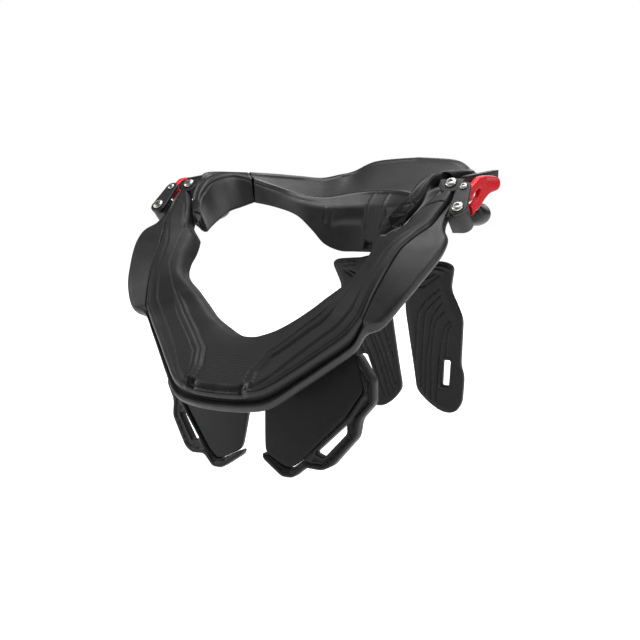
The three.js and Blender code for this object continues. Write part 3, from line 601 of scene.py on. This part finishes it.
def pad_relief(i, j, distance, width):
    """Raised ridges, panels and creases of the front pad, from the hinge plane's i and j."""
    side = np.abs(i)
    flat = np.stack([side, j], -1)
    far, along = near_line(flat, RIDGE)
    taper = ease(along / 30)
    half = 1.2 + 2.2 * taper
    in_reach = ease((along - 6) / 24)
    relief = bead(far, half, 1.0, 1.0) * (0.25 + 0.75 * taper) * in_reach
    relief += groove(np.abs(far - half - 0.9), 1.0, 0.7) * in_reach
    from_edge = width - distance
    outside = ease((side - np.interp(j, *MIDDLE_END)) / 1.5)
    margin = np.interp(j, *MARGIN)
    reach = ease((-38 - j) / 25) * (0.3 + 0.7 * ease((-100 - j) / 40))
    relief += 0.9 * ease((from_edge - margin) / 1.6) * outside * reach * ease(distance / 18)
    relief += groove(np.abs(from_edge - margin + 0.9), 1.0, 0.35) * outside * reach
    relief += groove(np.abs(from_edge - 3.4), 1.1, 0.5) * ease((-60 - j) / 20)
    centre = 1 - outside
    relief -= 2.2 * ease((9.5 - from_edge) / 8.0) * centre * ease((-150 - j) / 15)
    relief += groove(near_line(flat, TONGUE_ARC)[0], 1.1, 0.8)
    arm_lines = ease((-118 - j) / 14) * ease((from_edge - margin - 1) / 2)
    arm_lines = arm_lines * ease((distance - 9) / 8) * outside
    middle_lines = centre * ease((from_edge - 10) / 2) * ease((distance - 14) / 8)
    middle_lines = middle_lines * ease((-140 - j) / 10)
    lines = np.maximum(arm_lines, middle_lines) * ease((far - half - 1.6) / 1.0)
    gloss = centre * ease((9.0 - from_edge) / 1.5) * ease((-170 - j) / 10)
    gloss = np.maximum(gloss, ease((3.0 - from_edge) / 1.0) * 0.6)
    return relief, lines, gloss


def front_pad():
    rows = front_columns(260)
    width = front_width(rows)
    turn = np.linspace(0, math.pi / 2, 8)
    neck, outer = np.minimum(NECK_ROUND, width * 0.3), np.minimum(OUTER_ROUND, width * 0.2)
    middle = np.linspace(0, 1, 74)[1:-1]
    distance = np.hstack([
        neck * (1 - np.cos(turn)),
        neck + (width - outer - neck) * middle,
        width - outer * (1 - np.cos(turn[::-1])),
    ])
    level = np.hstack([
        -neck * (1 - np.sin(turn)),
        np.zeros((len(rows), len(middle))),
        -outer * (1 - np.sin(turn[::-1])),
    ])
    crown = np.minimum(PAD_CROWN, width * 0.1)
    level = level + crown * (1 - (2 * distance / width - 1) ** 4)
    i, j, k = across(rows, distance, level)
    relief, lines, gloss = pad_relief(i, j, distance, width)
    k = k + relief
    top = off_plane(i, j, k)
    inset = np.minimum(PAD_INSET, width * 0.2)
    under = inset + (width - inset) * np.linspace(1, 0, 12)
    level = np.full(under.shape, -PAD_THICK)
    bottom = off_plane(*across(rows, under, level))
    rings = np.concatenate([top, bottom], axis=1)
    blank = np.zeros(under.shape)
    marks = {"lines": both_halves(np.hstack([lines, blank])),
             "gloss": both_halves(np.hstack([gloss, blank]))}
    return loft("front_pad_foam", both_sides(rings), PAD_FOAM, 50.0, marks)


def front_frame():
    rows = front_columns(200)
    width = front_width(rows)
    shell = np.clip(rows[:, 9], 0, 1)[:, None]
    seat = -PAD_THICK - GAP
    rise = seat + shell * (PAD_THICK - 1.5)
    foot, step = np.minimum(9, width * 0.3), np.minimum(3.0, width * 0.2)
    base = seat - FRAME_THICK - (1 - shell) * FRAME_KEEL

    def at(distance, level):
        distance, level = (np.broadcast_to(v, width.shape) for v in (distance, level))
        return off_plane(*across(rows, distance, level))

    edge_top = off_plane(rows[:, 6], rows[:, 7], rows[:, 8])[:, None]
    edge_low = off_plane(rows[:, 6], rows[:, 7], rows[:, 8] - FRAME_LIP)[:, None]
    corners = np.concatenate([
        at(step, seat), at(width + GAP, seat), at(width + GAP + 0.1, rise), edge_top, edge_low,
        at(width - foot / 2, base), at(foot, base), at(step, seat - 3),
    ], axis=1)
    same = np.ones_like(width)
    radii = np.hstack([0.6 * same, 0.4 * same, 0.8 * same, 2.6 + 2.4 * shell, 2.8 + 1.0 * shell,
                       2 * same, 3 * same, same])
    rings = rounded(corners, radii, 6, [2, 1, 10, 3, 3, 3, 2, 1])
    return loft("front_chassis", both_sides(rings), SATIN, 40.0)


# Rear table and arm pads

# creases along the arm pad: share of the way across, half width, depth,
# share of the length where each one ends, and the share it fades over
ARM_CREASES = [(0.34, 2.2, 1.1, 0.93, 0.2), (0.62, 1.9, 0.9, 0.8, 0.3)]


def rear_corners(rows, thick):
    low, ridge, edge = (rows[:, n:n + 3] * REAR_SIZE + [0, SHIFT, 0] for n in (0, 3, 6))
    wall, top = ridge - low, edge - ridge
    sideways = top * [1, 1, 0]
    sideways /= np.linalg.norm(sideways, axis=1, keepdims=True)
    down = np.array([0, 0, -1.0])
    inset = np.minimum(thick, np.linalg.norm(top, axis=1, keepdims=True) * 0.5)
    corner = ridge + sideways * inset + down * thick + top * 0.06
    return np.stack([
        low, low + wall * 0.85, ridge + top * 0.12, ridge + top * 0.96, edge + down * thick * 0.15,
        edge + down * thick - sideways * thick * 0.2, corner, low + sideways * thick * 0.8,
    ], 1)


def rear_rings(table, thick, count, radii, per_edge):
    """Sections of a rear table, and how far their points are past the ridge and from the edge."""
    dense = smooth_rows(table)
    rows = even_rows(dense, (dense[:, 3:6] + dense[:, 6:9]) / 2 * REAR_SIZE, count)
    rings = rounded(rear_corners(rows, thick), radii, CORNER_POINTS, per_edge)
    step = np.linalg.norm(np.diff(rings, axis=1), axis=2)
    far = np.concatenate([np.zeros((len(rings), 1)), np.cumsum(step, 1)], 1)
    ridge = 2 * CORNER_POINTS + per_edge[0] + per_edge[1] + CORNER_POINTS // 2
    edge = ridge + per_edge[2] + CORNER_POINTS
    return rings, far - far[:, ridge:ridge + 1], far[:, edge:edge + 1] - far


def rear_table():
    rings, from_ridge, from_edge = rear_rings(
        TABLE, TABLE_THICK, 210, [1.5, 3.5, 3.5, 2.2, 2.2, 3, 4, 2], [10, 2, 40, 2, 4, 8, 4, 3])
    normal = ring_normals(rings)
    relief = bead(np.abs(from_ridge - 0.5), 3.4, 0.8, 1.8)
    relief += groove(np.abs(from_ridge + 5.0), 1.4, 0.8)
    on_top = ease((from_ridge - 2) / 2) * ease((from_edge + 1) / 1)
    relief += 0.9 * ease((7.5 - from_edge) / 1.8) * on_top
    relief += groove(np.abs(from_edge - 8.6), 1.1, 0.3) * on_top
    x, z = np.abs(rings[..., 0]), rings[..., 2]
    on_wall = (from_ridge < -4) * (from_ridge > -60)
    panel = ease((x - 9.5) / 1.2) * ease((36 - x) / 1.2)
    panel = panel * ease((z - 179.5) / 1.2) * ease((191.5 - z) / 1.2)
    relief += (-1.6 * panel + bead(np.abs(x - 7.2), 1.8, 0.9, 0.9) * ease((z - 176) / 3)) * on_wall
    clip = ease((1.6 - np.abs(x - 41.5)) / 0.8) * ease((z - 181) / 2) * ease((195 - z) / 2)
    relief += 1.5 * clip * on_wall
    notch = ease((4.6 - x) / 0.8) * ease((166 - z) / 0.8)
    relief -= 4.0 * notch * on_wall * (from_ridge < -8)
    gloss = bead(np.abs(from_ridge), 3.6, 0.8, 1.8) + 0.5 * ease((7.5 - from_edge) / 1.8) * on_top
    rings = rings + normal * relief[..., None]
    marks = {"gloss": both_halves(gloss)}
    return loft("rear_table_shell", both_sides(rings), TABLE_SATIN, 42.0, marks)


def arm_pad():
    rings, from_ridge, from_edge = rear_rings(
        ARM, ARM_PAD_THICK, 150, [2.5, 4, 5, 3.2, 3.2, 3, 3, 2.5], [8, 2, 26, 2, 3, 5, 3, 2])
    normal = ring_normals(rings)
    length = np.linspace(0, 1, len(rings))[:, None]
    span = from_ridge + from_edge
    share = from_ridge / np.maximum(span, 1e-6)
    soft_start = ease((length - 0.06) / 0.1)
    relief = np.zeros_like(span)
    for place, half, depth, end, fade in ARM_CREASES:
        crease = groove(np.abs(share - place) * span, half, depth)
        relief += crease * soft_start * ease((end - length) / fade)
    relief += 0.7 * ease((share - 0.66) / 0.12) * ease((1.0 - share) / 0.1) * soft_start
    relief += groove(np.abs(from_ridge + 6), 1.8, 0.9) * soft_start
    step = groove(np.abs(length - 0.115) * ARM_LENGTH, 1.6, 0.9)
    relief += step * ease((from_ridge + 8) / 4) * (from_edge > -1)
    relief -= 0.7 * ease((length - 0.98) / 0.02)
    relief -= 2.0 * (1 - ease(length / 0.035)) ** 2
    rings = rings + normal * relief[..., None]
    gloss = 0.5 * (1 - ease((length - 0.02) / 0.11)) + 0 * share
    centre = rings[0].mean(0)
    ahead = centre - rings[4].mean(0)
    ahead /= np.linalg.norm(ahead)
    tip = [centre + (rings[0] - centre) * s + ahead * TIP_LENGTH * math.sqrt(1 - s * s)
           for s in TIP_SHARES]
    rings = np.concatenate([tip, rings])
    gloss = np.concatenate([gloss[:1].repeat(len(tip), 0), gloss])
    pad = loft("arm_pad_foam_R", rings, ARM_FOAM, 60.0, {"gloss": gloss})
    return combined(pad, "DIFFERENCE", cover_room(GAP + 0.2))


def cover_room(side):
    """Block of the room round the hinge cover, with rounded corners."""
    inner, outer = PIN_HALF_SPAN - BOSS_RADIUS - side, PIN_HALF_SPAN + BOSS_RADIUS + side
    front, back = -BOSS_RADIUS - side, BOSS_WALL + side
    corners = [(inner, front), (outer, front), (outer, back), (inner, back)]
    ring = rounded(np.array([[(x, y, 0.0) for x, y in corners]]), 2.5, 6)[0]
    levels = [off_plane(ring[:, 0], ring[:, 1], k) for k in COVER_ROOM_LEVELS]
    return loft("cover_room", np.array(levels), SATIN)


def shoulder_pad():
    rows = smooth_rows(SHOULDER, 10)
    turn = full_turn(40)
    x = (rows[:, 0:1] + rows[:, 3:4] * np.cos(turn)) * PIN_HALF_SPAN
    z = (rows[:, 2:3] + rows[:, 4:5] * np.sin(turn)) * HINGE_HEIGHT
    z = np.minimum(z, (rows[:, 2:3] + 0.030) * HINGE_HEIGHT)
    y = np.broadcast_to(rows[:, 1:2] * BACK_REACH + SHIFT, x.shape)
    rings = np.stack([x, y, z], -1)
    normal = ring_normals(rings)
    dent = groove(np.abs(np.cos(turn) * 9 - 3.0), 1.5, 0.7) * (np.sin(turn) > -0.2)
    from_end = np.minimum(np.arange(len(rows)), len(rows) - 1 - np.arange(len(rows)))
    rings = rings + normal * (dent[None, :, None] * ease(from_end / 8)[:, None, None])
    return loft("shoulder_foam_R", rings, ARM_FOAM, 60.0)


# Chest legs

def sized(points, width, height):
    return [(x * width, z * height) for x, z in points]


def leg_place(near):
    def place(x, z, depth):
        return np.stack([x, -LEG_LENGTH + LEG_WRAP * x * x + LEG_LEAN * z + near + depth + SHIFT, z], -1)
    return place


def leg_panel():
    edge = [(x - GAP / LEG_WIDTH, z + GAP / LEG_WIDTH * 1.5) for x, z in PANEL_EDGE]
    top = [(x, min(z, 1.02 + 0.16 * x)) for x, z in PANEL_TOP]
    loops = [even_loop(sized([*top, *edge, *PANEL_SIDE], LEG_WIDTH, LEG_WIDTH), 1.6, 5.0)]
    return plate("leg_panel_R_shell", loops, PANEL_THICK, leg_place(PANEL_INSET), DEEP, 0.9, pitch=2.4)


def leg_rim():
    band = sized([*RIM_EDGE, *PANEL_EDGE[::-1]], LEG_WIDTH, LEG_WIDTH)
    outer_line = sized(RIM_EDGE, LEG_WIDTH, LEG_WIDTH)
    inner_line = sized(PANEL_EDGE, LEG_WIDTH, LEG_WIDTH)
    slit = [(74.7, 93.5), (80.3, 79.6)]
    loops = [even_loop(band, 1.2, 3.0), even_loop(sized(STRAP_SLOT, LEG_WIDTH, LEG_WIDTH), 1.0, 1.4)]

    def relief(points, far):
        outer, _ = near_line(points, outer_line)
        inner, _ = near_line(points, inner_line)
        raised = groove(np.abs(outer - 4.4), 1.1, 1.3)
        raised += groove(np.abs(inner - 3.6), 0.9, 0.7) * ease((outer - 6.5) / 1.5)
        raised -= 1.1 * ease((outer - 4.6) / 1.2) * ease((inner - 3.2) / 1.2)
        raised += groove(near_line(points, slit)[0], 1.6, 2.6)
        return raised * ease(far / 1.8)

    return plate("leg_rim_R_trim", loops, RIM_THICK, leg_place(0.0), TRIM, 1.7, relief, pitch=1.0)


# Back paddles

GROOVES = [
    [(47.2, 122.7), (29.8, 109.2), (21.9, 99.6), (17.0, 84.8), (11.6, 52.6)],
    [(48.0, 117.2), (31.0, 102.1), (26.8, 95.7), (20.0, 63.9), (13.3, 25.7)],
    [(48.1, 110.2), (35.0, 96.2), (32.2, 87.8), (22.9, 53.5), (16.6, 17.2)],
    [(50.2, 102.2), (38.2, 92.3), (34.9, 83.8), (27.4, 53.9), (21.7, 13.3)],
    [(53.4, 93.3), (46.0, 86.6), (42.9, 79.2), (34.4, 49.1), (27.2, 12.7)],
    [(55.2, 90.3), (50.1, 84.8), (46.8, 76.3), (42.3, 55.0)],
    [(49.2, 135.2), (31.9, 123.5), (19.7, 120.9)],
    [(44.6, 136.0), (27.9, 127.3)],
]
TOP_RIBS = [[(38.0, 143.2), (53.5, 141.2), (59.5, 138.6)], [(37.5, 139.7), (50.8, 137.4)]]


def paddle_place(x, z, depth):
    return np.stack([x, PADDLE_FOOT - PADDLE_LEAN * z + depth + SHIFT, z], -1)


def back_paddle():
    outline = sized(PADDLE, PADDLE_WIDTH, PADDLE_HEIGHT)
    slot = sized(PADDLE_SLOT, PADDLE_WIDTH, PADDLE_HEIGHT)
    loops = [even_loop(outline, 1.6, 6.0), even_loop(slot, 1.0, 1.2)]

    def relief(points, far):
        raised = np.zeros(len(points))
        for line in GROOVES:
            miss, along = near_line(points, line)
            raised += groove(miss, 1.5, 1.3) * ease((along + 1.5) / 5)
        for line in TOP_RIBS:
            raised += bead(near_line(points, line)[0], 1.5, 0.9, 1.0)
        raised += bead(np.abs(edge_distance(points, loops[1:]) - 1.9), 1.6, 0.6, 1.0)
        raised -= 0.7 * ease((5.5 - far) / 3.5) * (edge_distance(points, loops[1:]) > 4)
        return raised * ease(far / 1.5)

    def back(points, far):
        raised = np.zeros(len(points))
        for line in GROOVES[:6]:
            raised += groove(near_line(points, line)[0], 1.5, 0.6)
        return raised * ease(far / 2.0)

    return plate("back_paddle_R_pad", loops, PADDLE_THICK, paddle_place, PADDLE_SKIN, 2.4, relief,
                 back, pitch=1.1)


# Latch: links, red levers and screws

def on_plane(low, high):
    """Placer for a plate that lies on the hinge plane, its front face at level high."""
    def place(i, j, depth):
        return off_plane(i, j, high - np.minimum(depth, high - low))
    return place


def arc(centre, radius, start, end, count=16):
    turn = np.linspace(start, end, count)
    return [(centre[0] + radius * math.cos(t), centre[1] + radius * math.sin(t)) for t in turn]


def closed_curve(points, steps=6):
    """Smooth closed curve through the points of an outline."""
    ring = [points[-1], *points, points[0], points[1]]
    dense = smooth_rows(ring, steps)
    return dense[steps:-steps - 1]


def lever_flap():
    points = [(y * LEVER_REACH, z * LEVER_HEIGHT - LEVER_DROP) for y, z in LEVER]
    loops = [even_loop(closed_curve(points), 0.7)]

    def place(y, z, depth):
        x = LEVER_PIN[0] + LEVER_THICK + LEVER_SPLAY * y - np.minimum(depth, LEVER_THICK)
        return np.stack([x, y + SHIFT, z + HINGE_HEIGHT], -1)

    def relief(points, far):
        raised = -0.7 * ease((3.6 - near_line(points, [(-4, -14), (8.5, -8)])[0]) / 2.4)
        raised += groove(near_line(points, [(24, 1.5), (38, 1.5)])[0], 4.5, 0.5)
        return raised * ease(far / 2.0)

    return plate("red_lever_R_grip", loops, LEVER_THICK, place, RED, 1.2, relief, pitch=0.8)


def turned(name, pin, seat, profile, material, turn):
    """Body turned on an axis that stands on the hinge plane, from its radii and levels."""
    rings = [off_plane(pin[0] + r * np.cos(turn), pin[1] + r * np.sin(turn), seat + k)
             for r, k in profile]
    return loft(name, np.array(rings), material, 32.0)


def red_lever():
    flap = lever_flap()
    profile = [
        (1.9, 1 - BARREL_DEPTH), (LEVER_BORE, 1.2 - BARREL_DEPTH), (LEVER_BORE, 0.0),
        (4.2, 0.0), (4.55, -0.15), (BARREL_RADIUS, -0.5), (BARREL_RADIUS, 0.5 - BARREL_DEPTH),
        (4.2, -BARREL_DEPTH), (0.6, -BARREL_DEPTH),
    ]
    barrel = turned("lever_barrel", LEVER_PIN, 0.0, profile, RED, full_turn(40))
    return combined(flap, "UNION", barrel)


def latch_link():
    turn = math.atan2(LEVER_PIN[1] - LATCH_PIN[1], LEVER_PIN[0] - LATCH_PIN[0])
    outline = [*arc(LATCH_PIN, LINK_RADIUS, turn + math.pi / 2, turn + math.pi * 1.5),
               *arc(LEVER_PIN, LINK_TIP_RADIUS, turn - math.pi / 2, turn + math.pi / 2)]
    loops = [even_loop(outline, 0.9), even_loop(arc(LATCH_PIN, LATCH_BORE, 0, 6.0, 24), 0.7),
             even_loop(arc(LEVER_PIN, LEVER_BORE, 0, 6.0, 20), 0.6)]
    return plate("latch_link_R_bar", loops, LINK_THICK, on_plane(GAP, GAP + LINK_THICK), SATIN,
                 0.8, pitch=1.2)


def screw(name, pin, seat, length, scale=1.0):
    """Button-head screw with a hexagonal socket."""
    radius, height, shank = HEAD_RADIUS * scale, HEAD_HEIGHT * scale, SHANK_RADIUS * scale
    turn = full_turn(48)
    dome = [(radius * math.sin(a), height * (0.25 + 0.75 * math.cos(a)))
            for a in np.linspace(1.45, 0.62, 9)]
    across_flats = radius * 0.5 * math.cos(math.pi / 6)
    hexagon = across_flats / np.cos((turn % (math.pi / 3)) - math.pi / 6)
    top = dome[-1][1]
    profile = [
        (shank, -length + 0.3), (shank, 0.0), (radius * 0.96, 0.0), (radius, 0.12), *dome,
        (hexagon * 1.06, top), (hexagon, top - 0.18 * scale), (hexagon * 0.98, height * 0.32),
    ]
    return turned(name, pin, seat, profile, STEEL, turn)


WHITE = (1, 1, 1, 1)
WORLD_STRENGTH = 0.10
FLOOR_RADIUS, FLOOR_LEVEL = 6.0, -0.0006
DOME_RADIUS = 7.0
LIGHT_AIM = (0, 0, 0.12)
# softboxes: place in metres, width and height, power in watts
SOFTBOXES = {
    "top_softbox": ((0.1, 0.1, 1.7), (1.5, 1.2), 26),
    "left_softbox": ((-1.5, -0.9, 0.9), (1.0, 1.2), 12),
    "right_softbox": ((1.7, -0.4, 0.8), (0.9, 1.2), 12),
    "back_softbox": ((0.0, 1.7, 1.0), (1.6, 0.8), 9),
}
LENS, SENSOR_WIDTH, CLIP_END = 63.2, 36.0, 50
EYE = (455.1, -774.2 + SHIFT, 210.2)
AIM = (8.1, SHIFT, 106.0)


def glowing(name, color, roughness, specular, strength):
    material, _, bsdf = shader(name, color, roughness, specular)
    bsdf.inputs["Emission Color"].default_value = WHITE
    bsdf.inputs["Emission Strength"].default_value = strength
    return material


def turn_to(where, aim):
    return (Vector(aim) - Vector(where)).to_track_quat("-Z", "Y").to_euler()


def floor_and_lights():
    bpy.ops.mesh.primitive_circle_add(vertices=96, radius=FLOOR_RADIUS, fill_type="NGON",
                                      location=(0, 0, FLOOR_LEVEL))
    floor = bpy.context.object
    floor.name = "floor"
    floor.data.materials.append(glowing("floor_white", (0.86, 0.86, 0.86), 0.6, 0.1, 0.90))
    floor.visible_diffuse = False
    world = bpy.data.worlds.new("studio")
    bpy.context.scene.world = world
    world.use_nodes = True
    background = world.node_tree.nodes["Background"]
    background.inputs["Color"].default_value = WHITE
    background.inputs["Strength"].default_value = WORLD_STRENGTH
    bpy.ops.mesh.primitive_uv_sphere_add(segments=64, ring_count=32, radius=DOME_RADIUS,
                                         location=(0, 0, 0))
    dome = bpy.context.object
    dome.name = "backdrop"
    dome.data.materials.append(glowing("backdrop_white", (0, 0, 0), 1.0, 0.0, 1.0))
    dome.visible_diffuse = dome.visible_glossy = False
    dome.visible_shadow = dome.visible_transmission = False
    for name, (where, size, power) in SOFTBOXES.items():
        light = bpy.data.lights.new(name, "AREA")
        light.shape = "RECTANGLE"
        light.size, light.size_y = size
        light.energy = power
        lamp = placed(name, light)
        lamp.location = where
        lamp.rotation_euler = turn_to(where, LIGHT_AIM)


def camera():
    shot = bpy.data.cameras.new("camera")
    shot.sensor_width = SENSOR_WIDTH
    shot.lens = LENS
    shot.clip_end = CLIP_END
    eye = placed("camera", shot)
    eye.location = Vector(EYE) * MM
    eye.rotation_euler = turn_to(eye.location, Vector(AIM) * MM)
    bpy.context.scene.camera = eye


def put(piece, body, slot, *nodes):
    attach(piece, body)
    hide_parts(*nodes)


def put_pair(piece, bodies, slot, cad):
    """A right-hand piece and its mirror image, each in its CAD node's place."""
    other = mirrored(piece, piece.name.replace("_R", "_L", 1))
    for side, body, made in (("R", bodies[0], piece), ("L", bodies[1], other)):
        put(made, body, slot, f"{cad}_{side}")


floor_and_lights()
camera()

pad = front_pad()
put(pad, "front_half", "foam", "front_pad")
put(front_frame(), "front_half", "shell", "front_frame")
put(rear_table(), "rear_half", "shell", "rear_table")
REAR, FRONT_HALF = ("rear_half", "rear_half"), ("front_half", "front_half")
LINKS = ("link_R", "link_L")
LATCH_SEAT = LINK_THICK + 2 * GAP
put_pair(arm_pad(), REAR, "foam", "rear_arm_pad")
put_pair(shoulder_pad(), REAR, "foam", "shoulder_pad")
put_pair(leg_panel(), FRONT_HALF, "shell", "leg_panel")
put_pair(leg_rim(), FRONT_HALF, "soft_trim", "leg_rim")
put_pair(back_paddle(), REAR, "soft_trim", "back_paddle")
put(refined("back_strut", "strut_plate", SATIN, 1.0), "rear_half", "shell", "back_strut")
put_pair(refined("hinge_cover_R", "hinge_cover_R_cap", SATIN, 0.9), REAR, "shell", "hinge_cover")
latch_block = refined("latch_block_R", "latch_block_R_body", SATIN, 1.6)
put_pair(latch_block, FRONT_HALF, "shell", "latch_block")
put_pair(latch_link(), LINKS, "shell", "latch_link")
put_pair(red_lever(), ("lever_R", "lever_L"), "red_plastic", "red_lever")
hinge_screw = screw("hinge_screw_R_bolt", (PIN_HALF_SPAN, 0.0), GAP, 17.0)
put_pair(hinge_screw, REAR, "steel", "hinge_screw")
latch_screw = screw("latch_screw_R_bolt", LATCH_PIN, LATCH_SEAT, 16.0)
put_pair(latch_screw, FRONT_HALF, "steel", "latch_screw")
lever_screw = screw("lever_screw_R_bolt", LEVER_PIN, LATCH_SEAT, 9.0, 0.65)
put_pair(lever_screw, LINKS, "steel", "lever_screw")

bpy.context.scene.view_settings.view_transform = "Standard"
